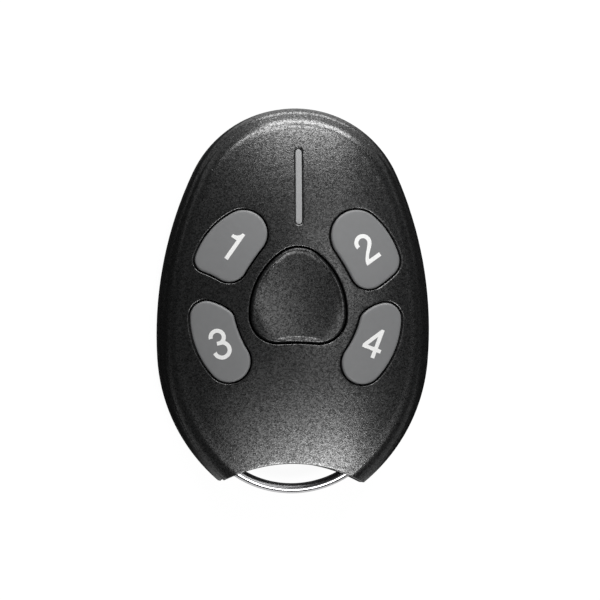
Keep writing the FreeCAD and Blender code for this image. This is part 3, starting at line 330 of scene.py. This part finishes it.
# Parts soldered on the board: two chips in black epoxy with tinned leads and a dimple at the
# first pin, a crystal in a metal can, small tan ceramic blocks, and a bent tinned wire aerial.
EPOXY_BLACK, LEAD_TIN = (0.014, 0.014, 0.015), (0.55, 0.55, 0.56)
LEAD_LOW, LEAD_BLUR = 5.25 * MM, 0.005 * MM
DIMPLE_FLOOR, DIMPLE_RADIUS, DIMPLE_DEPTH = 0.22 * MM, 0.3 * MM, 0.03 * MM
CHIPS = [
    ("radio_chip", "radio_chip_package", (3.2 * MM, 18.0 * MM)),
    ("encoder_chip", "encoder_package", (0.7 * MM, -9.6 * MM)),
]
for node, name, first_pin in CHIPS:
    epoxy = Finish(name + "_epoxy", EPOXY_BLACK, 0.55)
    dimple = epoxy.remap(epoxy.from_line(first_pin), DIMPLE_FLOOR, DIMPLE_RADIUS, 0.0, 1.0)
    lead = epoxy.remap(epoxy.axis("Z"), LEAD_LOW - LEAD_BLUR, LEAD_LOW + LEAD_BLUR, 0.0, 1.0)
    epoxy.colour(epoxy.blend(lead, EPOXY_BLACK, LEAD_TIN))
    epoxy.join(lead, epoxy.shader.inputs["Metallic"])
    grit = epoxy.math("MULTIPLY", epoxy.noise(0.08 * MM), 0.2)
    epoxy.relief(epoxy.math("ADD", grit, dimple), DIMPLE_DEPTH)
    epoxy.on(piece(node, name, "case"))

crystal_can = plated("crystal_can", (0.7, 0.69, 0.66), 0.2, 0.2 * MM)
crystal_can.on(piece("crystal", "crystal_package", "case"))
ceramic = Finish("ceramic_tan", (0.33, 0.21, 0.11), 0.42)
ceramic.mottled(0.35 * MM, (0.27, 0.16, 0.08), (0.4, 0.27, 0.15))
ceramic.grained(0.06 * MM, 0.004 * MM)
ceramic.on(piece("chip_parts", "ceramic_blocks", "case"))
tinned_wire = plated("tinned_wire", (0.72, 0.72, 0.7), 0.25, 0.15 * MM)
tinned_wire.on(piece("antenna", "aerial_wire", "case"))

# Lamp: a small block of clear resin over a yellow phosphor, soldered to the board right under
# the light bar.
lamp = Finish("lamp_resin", (0.82, 0.8, 0.66), 0.25)
lamp.mottled(0.5 * MM, (0.85, 0.83, 0.72), (0.8, 0.72, 0.3))
lamp.grained(0.1 * MM, 0.002 * MM)
lamp.on(piece("status_led", "lamp", "case"))

# Tact switches: a black base with tinned feet, a stamped steel plate clipped over it, and a
# plunger that stands through the plate. Each plunger goes down with its key.
switch_body = Finish("switch_moulding", (0.016, 0.016, 0.017), 0.45)
switch_body.uneven(0.4 * MM, 0.38, 0.52)
switch_body.grained(0.07 * MM, 0.004 * MM)
switch_steel = plated("switch_steel", (0.6, 0.6, 0.61), 0.3, 0.04 * MM)
for number in range(1, 6):
    base = piece("switch_base_%d" % number, "switch_body_%d" % number, "case")
    plate = piece("switch_cover_%d" % number, "switch_plate_%d" % number, "case")
    body = "plunger_%d" % number
    button = piece("switch_plunger_%d" % number, "switch_button_%d" % number, body)
    switch_body.on(base, button)
    switch_steel.on(plate)

# Light bar: clear acrylic with a frosted face, grey because nothing shines behind it. It
# stands in a slot of the front cover and leads the lamp's light out.
HAZE_DEPTH = 0.6 * MM
frosted = Finish("frosted_bar", (0.35, 0.353, 0.356), 0.42)
frosted.shader.inputs["Subsurface Weight"].default_value = 0.3
frosted.shader.inputs["Subsurface Radius"].default_value = (HAZE_DEPTH, HAZE_DEPTH, HAZE_DEPTH)
frosted.mottled(1.6 * MM, (0.33, 0.333, 0.336), (0.37, 0.373, 0.376))
frosted.uneven(0.3 * MM, 0.36, 0.48)
frosted.grained(0.12 * MM, 0.003 * MM)
frosted.on(piece("light_pipe", "light_bar", "case"))

# Keys: four caps moulded in smooth mid-grey plastic, and between them a black cap with a thumb
# dish, textured like the case. The tool that cut the dish left its ridge soft, and the cap's
# tilted edge has its shine taken down, a painted shade that dims the highlight on that edge.
key_skin = Finish("key_grey", (0.2, 0.202, 0.205), 0.46)
key_skin.mottled(0.9 * MM, (0.188, 0.19, 0.193), (0.212, 0.214, 0.217), 3.0)
key_skin.uneven(0.3 * MM, 0.42, 0.52)
key_skin.grained(0.16 * MM, 0.0035 * MM)
for number in range(1, 5):
    key_skin.on(piece("key_%d" % number, "key_cap_%d" % number, "key_%d" % number))

CROWN_CROSS, CROWN_LONG = 45.0 * MM, 90.0 * MM
CROWN_MIDDLE, CROWN_TOP = -1.0 * MM, 13.4 * MM
KEY_PROUD = 0.15 * MM


def crown(x, y, proud):
    """Height over a place in plan: an arc across of radius r = cross + proud, carried round an
    axis a long radius below the top, so z = axis + sqrt((long - cross + sqrt(r^2 - x^2))^2 - y^2)."""
    across = CROWN_LONG - CROWN_CROSS + np.sqrt((CROWN_CROSS + proud) ** 2 - x**2)
    return CROWN_TOP - CROWN_LONG + np.sqrt(across**2 - (y - CROWN_MIDDLE) ** 2)


DISH_RADIUS, DISH_DEPTH, DISH_Y = 52.0 * MM, 0.81 * MM, 1.14 * MM
RIDGE_SOFT = 0.16 * MM
CAP_WALL_LOW, CAP_SKIN = 8.6 * MM, 1.3 * MM
CAP_MESH = 0.4 * MM
CAP_ROUND, CAP_FADE = 0.3 * MM, 0.5 * MM
EDGE_SHADE_FROM, EDGE_SHADE_OVER, EDGE_SHINE_LEFT = 0.965, 0.065, 0.22
CUT_ROUNDS = 6
WALL_OUT, WALL_TILT = 0.5, 0.2


def finer(form, chosen, length):
    """Cuts the edges of chosen faces until none of them is longer than length."""
    for _ in range(CUT_ROUNDS):
        edges = {edge for face in form.faces if chosen(face) for edge in face.edges}
        long_edges = [edge for edge in edges if edge.calc_length() > length]
        if not long_edges:
            break
        bmesh.ops.subdivide_edges(form, edges=long_edges, cuts=1)
        bmesh.ops.triangulate(form, faces=[face for face in form.faces if len(face.verts) > 3])
        form.normal_update()


def depth_from_wall(form, chosen):
    """A function of a place: how far it lies in from the nearest part of the chosen wall, and
    which way that part looks. The wall is upright and looks away from the remote's middle."""
    form.normal_update()
    wall = []
    for vert in form.verts:
        x, y, _ = vert.co
        out = vert.normal.x * x + vert.normal.y * y > WALL_OUT * math.hypot(x, y)
        if out and abs(vert.normal.z) < WALL_TILT and chosen(vert.co):
            wall.append((vert.co.copy(), Vector((vert.normal.x, vert.normal.y, 0)).normalized()))
    tree = kdtree.KDTree(len(wall))
    for index, (spot, _) in enumerate(wall):
        tree.insert((spot.x, spot.y, 0), index)
    tree.balance()

    def depth(place):
        spot, way = wall[tree.find((place.x, place.y, 0))[1]]
        return (spot - place).dot(way), way

    return depth


def soften_dish(form):
    """Blends the cap's crown a and its dish b, z = (a + b - sqrt((a - b)^2 + soft^2)) / 2, which
    rounds the ridge between them, on a finer mesh that keeps the cap's rounded edge as it is.
    The dish fades in from that edge by 3 f^2 - 2 f^3."""
    depth = depth_from_wall(form, lambda spot: spot.z > CAP_WALL_LOW)

    def on_top(vert):
        return vert.co.z > crown(vert.co.x, vert.co.y, KEY_PROUD) - CAP_SKIN

    finer(form, lambda face: all(on_top(vert) for vert in face.verts), CAP_MESH)
    for vert in form.verts:
        inside = depth(vert.co)[0] - CAP_ROUND
        if inside > 0 and on_top(vert):
            x, y, z = vert.co
            ridge = crown(x, y, KEY_PROUD)
            drop = DISH_RADIUS - math.sqrt(DISH_RADIUS**2 - x**2 - (y - DISH_Y) ** 2)
            bowl = CROWN_TOP + KEY_PROUD - DISH_DEPTH + drop
            soft = (ridge + bowl - math.hypot(ridge - bowl, RIDGE_SOFT)) / 2
            fade = min(inside / CAP_FADE, 1.0)
            vert.co.z = ridge + (soft - ridge) * fade * fade * (3 - 2 * fade)


def dim_edge_shine(made, finish, share_of, left):
    """Painted shade: the shine taken down to left of itself where share_of(vertex), from 0 to 1, is 1."""
    shares = made.data.attributes.new("edge", "FLOAT", "POINT")
    for vert, share in zip(made.data.vertices, shares.data):
        share.value = min(max(share_of(vert), 0.0), 1.0)
    edge_shade = finish.add("ShaderNodeAttribute", attribute_name="edge").outputs["Fac"]
    finish.shine(finish.math("MULTIPLY", finish.remap(edge_shade, 0.0, 1.0, 1.0, left), finish.shade))
    finish.on(made)


# Painted shade on the centre cap: its shine falls where the surface tilts over at its edge, dimming the
# highlight there.
centre = piece("centre_key", "centre_cap", "centre_key", reshape=soften_dish)
dim_edge_shine(
    centre,
    spark_black("spark_black_centre"),
    lambda vert: (EDGE_SHADE_FROM - vert.normal.z) / EDGE_SHADE_OVER,
    EDGE_SHINE_LEFT,
)

# Digits: white ink printed on the grey caps, in plain strokes of one width, one digit a key.
# Each is a flat outline bent onto the crown of its cap.
INK_PROUD, INK_THICK = 0.01 * MM, 0.03 * MM
INK_MESH = 0.35 * MM
INK_JOIN, INK_ROUNDS = 0.002 * MM, 4


def bow(centre, radius, start, end, count=16):
    """Points of an arc from angle start to end in degrees: centre + radius * (cos, sin)."""
    turn = np.radians(np.linspace(start, end, count))
    return np.column_stack((centre[0] + radius * np.cos(turn), centre[1] + radius * np.sin(turn)))


def bend(first, second, third, fourth, count=14):
    """Points of a cubic curve between the first and the fourth of its control points."""
    t = np.linspace(0, 1, count)[:, None]
    points = [np.array(point) for point in (first, second, third, fourth)]
    shares = ((1 - t) ** 3, 3 * t * (1 - t) ** 2, 3 * t**2 * (1 - t), t**3)
    return sum(share * point for share, point in zip(shares, points))


def outline(*runs):
    """One closed outline of runs of points in millimetres, from the digit's own middle."""
    return np.vstack(runs)


ONE = [
    outline(
        [(0.34, -2.15), (0.34, 2.33)],
        bow((-1.15, 2.5), 1.06, -9, -92),
        [(-1.19, 0.97), (-0.25, 0.97), (-0.25, -2.15)],
    )
]
TWO = [
    outline(
        bow((0.03, 1.18), 1.3, 192, -38),
        bend((1.05, 0.38), (0.59, -0.21), (-0.34, -0.63), (-0.6, -1.33))[1:],
        [(1.22, -1.33), (1.22, -1.94), (-1.37, -1.94)],
        bend((-1.37, -1.75), (-1.22, -0.72), (0.38, 0.32), (0.68, 0.94)),
        bow((0.03, 1.18), 0.69, -20, 194)[1:],
    )
]
THREE = [
    outline(
        bow((-0.265, 1.1), 1.25, 186, -32),
        bow((0.1, -0.87), 1.4, 58, -164, 24),
        bow((0.1, -0.87), 0.81, -172, 75, 24),
        [(-0.47, -0.12), (-0.47, 0.44)],
        bow((-0.265, 1.1), 0.66, -72, 186),
    )
]
FOUR = [
    outline(
        [(0.27, -2.02), (0.855, -2.02), (0.855, -0.99), (1.43, -0.99)],
        [(1.43, -0.44), (0.855, -0.44), (0.855, 2.4), (0.42, 2.4)],
        [(-1.5, -0.5), (-1.5, -0.99), (0.27, -0.99)],
    ),
    outline([(0.27, -0.44), (-0.78, -0.44), (0.27, 1.18)]),
]
# Each digit's outlines, its middle on the remote in millimetres, and its turn in degrees.
DIGITS = [
    (ONE, (-9.48, 7.86), -34.3),
    (TWO, (10.16, 7.68), 35.7),
    (THREE, (-11.34, -6.48), 10.7),
    (FOUR, (11.26, -6.14), -20.3),
]


def printed(name, outlines, middle, turn):
    """Outlines in millimetres, filled, turned, moved to middle, cut fine and bent onto the crown.
    The ink's upper face stands proud of the cap, and its lower one is sunk in it."""
    curve = bpy.data.curves.new(name, "CURVE")
    curve.dimensions = "2D"
    curve.fill_mode = "BOTH"
    for points in outlines:
        spline = curve.splines.new("POLY")
        spline.points.add(len(points) - 1)
        flat = np.zeros((len(points), 4))
        flat[:, :2] = points * MM
        spline.points.foreach_set("co", flat.ravel())
        spline.use_cyclic_u = True
    holder = put(name + "_outline", curve)
    mesh = bpy.data.meshes.new_from_object(holder)
    bpy.data.objects.remove(holder)
    place = Matrix.Translation((middle[0] * MM, middle[1] * MM, 0))
    mesh.transform(place @ Matrix.Rotation(math.radians(turn), 4, "Z"))
    form = bmesh.new()
    form.from_mesh(mesh)
    bmesh.ops.remove_doubles(form, verts=form.verts, dist=INK_JOIN)
    bmesh.ops.triangulate(form, faces=form.faces)
    for _ in range(INK_ROUNDS):
        long_edges = [edge for edge in form.edges if edge.calc_length() > INK_MESH]
        if long_edges:
            bmesh.ops.subdivide_edges(form, edges=long_edges, cuts=1)
            bmesh.ops.triangulate(form, faces=form.faces)
    bmesh.ops.recalc_face_normals(form, faces=form.faces)
    if sum(face.normal.z for face in form.faces) < 0:
        bmesh.ops.reverse_faces(form, faces=form.faces)
    form.to_mesh(mesh)
    form.free()
    spots = np.empty(len(mesh.vertices) * 3)
    mesh.vertices.foreach_get("co", spots)
    spots = spots.reshape(-1, 3)
    spots[:, 2] = crown(spots[:, 0], spots[:, 1], KEY_PROUD) + INK_PROUD
    mesh.vertices.foreach_set("co", spots.ravel())
    made = put(name, mesh)
    thick = made.modifiers.new("ink", "SOLIDIFY")
    thick.thickness = INK_THICK
    thick.offset = -1
    return made


ink = Finish("white_ink", (0.92, 0.92, 0.91), 0.5)
ink.mottled(0.25 * MM, (0.9, 0.9, 0.89), (0.95, 0.95, 0.94), 3.0)
ink.grained(0.08 * MM, 0.003 * MM)
for number, (outlines, middle, turn) in enumerate(DIGITS, 1):
    mark = printed("digit_%d" % number, outlines, middle, turn)
    ink.on(mark)
    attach(mark, "key_%d" % number)

# Front cover: the domed moulding, in the same textured black as the back, with the keys and
# the light bar standing in its openings and its rim closed on the rear cover. The mould's
# cutter left a soft corner where the dome stands on the rim.
RIM_TOP, RIM_UNDER = 7.6 * MM, 6.2 * MM
RIM_BAND, RIM_MESH = 3.2 * MM, 0.36 * MM
RIM_SLOPE = 0.05
CORNER_INSET, CORNER_BACK = 0.8 * MM, 0.3 * MM
CORNER_FALL, CORNER_SOFT = 4.0, 0.85 * MM
FADE_OUTER, FADE_INNER = 0.4 * MM, 1.0 * MM
OUTER_WALL = (17.0 * MM, 25.0 * MM)
NOTCH = (10.9 * MM, -22.5 * MM)


def soften_rim(form):
    """Fills the corner where the dome meets the rim, two heights h apart, by half of
    sqrt(h^2 + soft^2) - h, fading out at both sides of the rim's band. Places are told by how
    deep they lie in from the outer wall: the upright faces that stand outside an ellipse of
    half-widths OUTER_WALL and aren't in the notch at the foot."""

    def on_wall(spot):
        far = (spot.x / OUTER_WALL[0]) ** 2 + (spot.y / OUTER_WALL[1]) ** 2 > 1
        return far and spot.z < RIM_UNDER and not (abs(spot.x) < NOTCH[0] and spot.y < NOTCH[1])

    depth = depth_from_wall(form, on_wall)

    def in_band(face):
        middle = face.calc_center_median()
        return face.normal.z > RIM_SLOPE and middle.z > RIM_UNDER and depth(middle)[0] < RIM_BAND

    finer(form, in_band, RIM_MESH)
    for vert in {vert for face in form.faces if in_band(face) for vert in face.verts}:
        deep, way = depth(vert.co)
        past = deep - CORNER_INSET - CORNER_BACK * way.y
        apart = max(vert.co.z - RIM_TOP - CORNER_FALL * min(past, 0.0), 0.0)
        outer = min(max(deep / FADE_OUTER, 0.0), 1.0)
        inner = min(max((RIM_BAND - deep) / FADE_INNER, 0.0), 1.0)
        vert.co.z += outer * inner * (math.hypot(apart, CORNER_SOFT) - apart) / 2


front = piece("front_cover", "front_case", "case", reshape=soften_rim)
spark_black("spark_black_front").on(front)

# Screws: two zinc-plated pan heads with a cross recess, sunk in the back. They cut their own
# thread in the front cover's bosses and clamp the covers at the foot.
screw_zinc = turned_metal("screw_zinc", (0.42, 0.42, 0.43), 0.34, (0.0, 0.0), 0.2 * MM)
screw_zinc.on(piece("case_screws", "screws", "case"))

# Bail: round wire bent to a flat D, joined in its pivot bar, and plated with bright chrome.
# A circle is swept along the D, which is then tipped about its bar to where it rests.
WIRE_RADIUS, WIRE_SIDES = 0.75 * MM, 40
BAIL_SIDE, BAIL_REACH, BAIL_ARC = 9.45, 7.386, 14.17
BAIL_CORNER, BAIL_SHOULDER = 2.0, 1.2
BAIL_PIVOT = (0.0, -20.5 * MM, 5.0 * MM)
BAIL_DROOP = math.radians(16.0)


def bail_path():
    """Right half of the D from the bar's middle to the foot, in millimetres, then the left half
    mirrored: a straight, the shoulder's arc, the leg, the corner's arc and the foot's arc, all
    tangent."""
    corner_x = BAIL_SIDE - BAIL_CORNER
    foot = (0.0, BAIL_ARC - BAIL_REACH)
    corner = (corner_x, foot[1] - math.sqrt((BAIL_ARC - BAIL_CORNER) ** 2 - corner_x**2))
    meet = math.degrees(math.atan2(corner[1] - foot[1], corner_x))
    bar_end = BAIL_SIDE - BAIL_SHOULDER
    half = np.vstack(
        (
            np.column_stack((np.linspace(0, bar_end, 9)[:-1], np.zeros(8))),
            bow((bar_end, -BAIL_SHOULDER), BAIL_SHOULDER, 90, 0, 13),
            bow(corner, BAIL_CORNER, 0, meet, 13),
            bow(foot, BAIL_ARC, meet, -90, 33)[1:],
        )
    )
    return np.vstack((half, (half * (-1, 1))[-2:0:-1])) * MM


def swept_wire(name, path, radius):
    """Ring j of point i is path + radius * (cos(a) * side + sin(a) * up), side square to the path."""
    way = np.roll(path, -1, 0) - np.roll(path, 1, 0)
    way /= np.linalg.norm(way, axis=1)[:, None]
    side = np.column_stack((way[:, 1], -way[:, 0], np.zeros(len(way))))
    turn = np.linspace(0, 2 * np.pi, WIRE_SIDES, endpoint=False)
    middle = np.column_stack((path, np.zeros(len(path))))
    rings = middle[:, None] + radius * np.cos(turn)[None, :, None] * side[:, None]
    rings[:, :, 2] += radius * np.sin(turn)[None, :]
    i, j = np.mgrid[0 : len(path), 0:WIRE_SIDES]
    this, after = i * WIRE_SIDES, (i + 1) % len(path) * WIRE_SIDES
    beside = (j + 1) % WIRE_SIDES
    quads = np.stack((this + j, after + j, after + beside, this + beside), -1)
    mesh = bpy.data.meshes.new(name)
    mesh.from_pydata(rings.reshape(-1, 3), [], quads.reshape(-1, 4).tolist())
    mesh.shade_smooth()
    return put(name, mesh)


bail = swept_wire("bail_wire", bail_path(), WIRE_RADIUS)
bail.data.transform(Matrix.Translation(BAIL_PIVOT) @ Matrix.Rotation(BAIL_DROOP, 4, "X"))
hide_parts("key_bail")
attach(bail, "bail")
chrome = Finish("bright_chrome", (0.66, 0.66, 0.67), 0.2, 1.0)
chrome.uneven(0.7 * MM, 0.19, 0.25, 3.0)
chrome.grained(0.5 * MM, 0.0006 * MM)
chrome.on(bail)

# Table: white paper that shows as white to the camera, takes the remote's shadow, and glows in
# the mirror of shiny pieces only before the foot and beyond the top, as a lit strip would.
TABLE_HALF, TABLE_LOW = 4.0, -0.05 * MM
PAPER_GLOW, PAPER_SHADOW, PAPER_GREY = 0.94, 0.12, 0.1
STRIP_DARK, STRIP_WHITE, STRIP_SIDE = 0.02, 0.9, 0.3
FOOT_STRIP, TOP_STRIP = (-26 * MM, -34 * MM), (29 * MM, 33 * MM)
STRIP_SIDES = (12 * MM, 19 * MM)


def grey(level):
    """An even grey, from 0 for black to 1 for white."""
    return (level, level, level, 1)


def wired(tree, kind, *feeds, **settings):
    """A new node's outputs. Its first inputs take the feeds in order: an output is linked, and
    a number or a colour is set."""
    node = tree.nodes.new(kind)
    for setting, value in settings.items():
        setattr(node, setting, value)
    for target, feed in zip(node.inputs, feeds):
        if isinstance(feed, bpy.types.NodeSocket):
            tree.links.new(feed, target)
        else:
            target.default_value = feed
    return node.outputs


paper = bpy.data.materials.new("white_table")
paper.use_nodes = True
tree = paper.node_tree
tree.nodes.clear()
ray = wired(tree, "ShaderNodeLightPath")
spot = wired(tree, "ShaderNodeSeparateXYZ", wired(tree, "ShaderNodeTexCoord")["Object"])
strips = [
    wired(tree, "ShaderNodeMapRange", spot["Y"], *strip, STRIP_DARK, STRIP_WHITE)[0]
    for strip in (FOOT_STRIP, TOP_STRIP)
]
mirrored = wired(tree, "ShaderNodeMath", *strips, operation="ADD")[0]
for side in (-1, 1):
    reach = (side * STRIP_SIDES[0], side * STRIP_SIDES[1])
    share = wired(tree, "ShaderNodeMapRange", spot["X"], *reach, 1.0, STRIP_SIDE)[0]
    mirrored = wired(tree, "ShaderNodeMath", mirrored, share, operation="MULTIPLY")[0]
shiny = wired(
    tree, "ShaderNodeMath", ray["Is Glossy Ray"], ray["Is Transmission Ray"], operation="MAXIMUM"
)[0]
dull = wired(tree, "ShaderNodeBsdfDiffuse", grey(PAPER_GREY))[0]
strip_glow = wired(tree, "ShaderNodeEmission", grey(1), mirrored)[0]
for_light = wired(tree, "ShaderNodeMixShader", shiny, dull, strip_glow)[0]
shadowed = wired(tree, "ShaderNodeBsdfDiffuse", grey(PAPER_SHADOW))[0]
glow = wired(tree, "ShaderNodeEmission", grey(1), PAPER_GLOW)[0]
for_camera = wired(tree, "ShaderNodeAddShader", glow, shadowed)[0]
surface = wired(tree, "ShaderNodeMixShader", ray["Is Camera Ray"], for_light, for_camera)[0]
wired(tree, "ShaderNodeOutputMaterial", surface)

table_mesh = bpy.data.meshes.new("table")
corners = [
    (x * TABLE_HALF, y * TABLE_HALF, TABLE_LOW) for x, y in ((-1, -1), (1, -1), (1, 1), (-1, 1))
]
table_mesh.from_pydata(corners, [], [(0, 1, 2, 3)])
table_mesh.materials.append(paper)
put("table", table_mesh)

# Lamps: three soft boxes beyond the top of the remote, two before its foot and a faint one
# overhead, in a dim room whose wall shows as white to the camera.
LAMP_DISTANCE = 1.2
ROOM_LIGHT = 0.02


def soft_light(name, azimuth, height, wide, high, power):
    """A soft box of wide by high metres and power watts, which faces the remote from azimuth
    and height, two angles in degrees: its place is distance * (cos h cos a, cos h sin a, sin h)."""
    data = bpy.data.lights.new(name, "AREA")
    data.shape = "RECTANGLE"
    data.size, data.size_y = wide, high
    data.energy = power
    turn, lift = math.radians(azimuth), math.radians(height)
    way = Vector((math.cos(lift) * math.cos(turn), math.cos(lift) * math.sin(turn), math.sin(lift)))
    face = (-way).to_track_quat("-Z", "Y").to_matrix().to_4x4()
    put(name, data).matrix_world = Matrix.Translation(way * LAMP_DISTANCE) @ face


soft_light("far_low_light", 80, 10, 1.12, 0.42, 12.0)
soft_light("far_middle_light", 110, 28, 0.5, 0.3, 3.0)
soft_light("far_high_light", 82, 45, 0.7, 0.4, 5.2)
soft_light("near_light", -76, 48, 0.8, 0.3, 6.9)
soft_light("near_high_light", -82, 62, 1.0, 0.3, 0.9)
soft_light("over_light", 20, 70, 0.5, 0.5, 0.8)

room = bpy.data.worlds.new("studio")
bpy.context.scene.world = room
room.use_nodes = True
tree = room.node_tree
tree.nodes.clear()
dim = wired(tree, "ShaderNodeBackground", grey(1), ROOM_LIGHT)[0]
backdrop = wired(tree, "ShaderNodeBackground", grey(1), 1.0)[0]
camera_ray = wired(tree, "ShaderNodeLightPath")["Is Camera Ray"]
wired(tree, "ShaderNodeOutputWorld", wired(tree, "ShaderNodeMixShader", camera_ray, dim, backdrop)[0])

# Camera: above the remote as in the photograph, leaning a little to its left, with a long lens
# whose scale at the remote is the photograph's.
PHOTO_SIDE = 600
PIXELS_PER_METRE = 6787.5
MIDDLE_RIGHT, MIDDLE_UP = 6.9 / PIXELS_PER_METRE, 1.0 / PIXELS_PER_METRE
MIDDLE_HEIGHT = 4.3 * MM
LEFT_LEAN, ROLL = math.radians(5.2), math.radians(0.68)
DISTANCE = 2.0
SENSOR = 36.0

camera_data = bpy.data.cameras.new("camera")
camera_data.sensor_width = SENSOR
camera_data.lens = SENSOR * DISTANCE * PIXELS_PER_METRE / PHOTO_SIDE
camera_data.clip_end = 20.0
back = Vector((-math.sin(LEFT_LEAN), 0, math.cos(LEFT_LEAN)))
level = Vector((math.cos(LEFT_LEAN), 0, math.sin(LEFT_LEAN)))
right = level * math.cos(ROLL) + Vector((0, 1, 0)) * math.sin(ROLL)
up = back.cross(right)
target = Vector((0, 0, MIDDLE_HEIGHT)) + right * MIDDLE_RIGHT + up * MIDDLE_UP
camera = put("camera", camera_data)
turned = Matrix((right, up, back)).transposed().to_4x4()
camera.matrix_world = Matrix.Translation(target + back * DISTANCE) @ turned
bpy.context.scene.camera = camera
bpy.context.scene.view_settings.view_transform = "Standard"

bpy.context.view_layer.update()
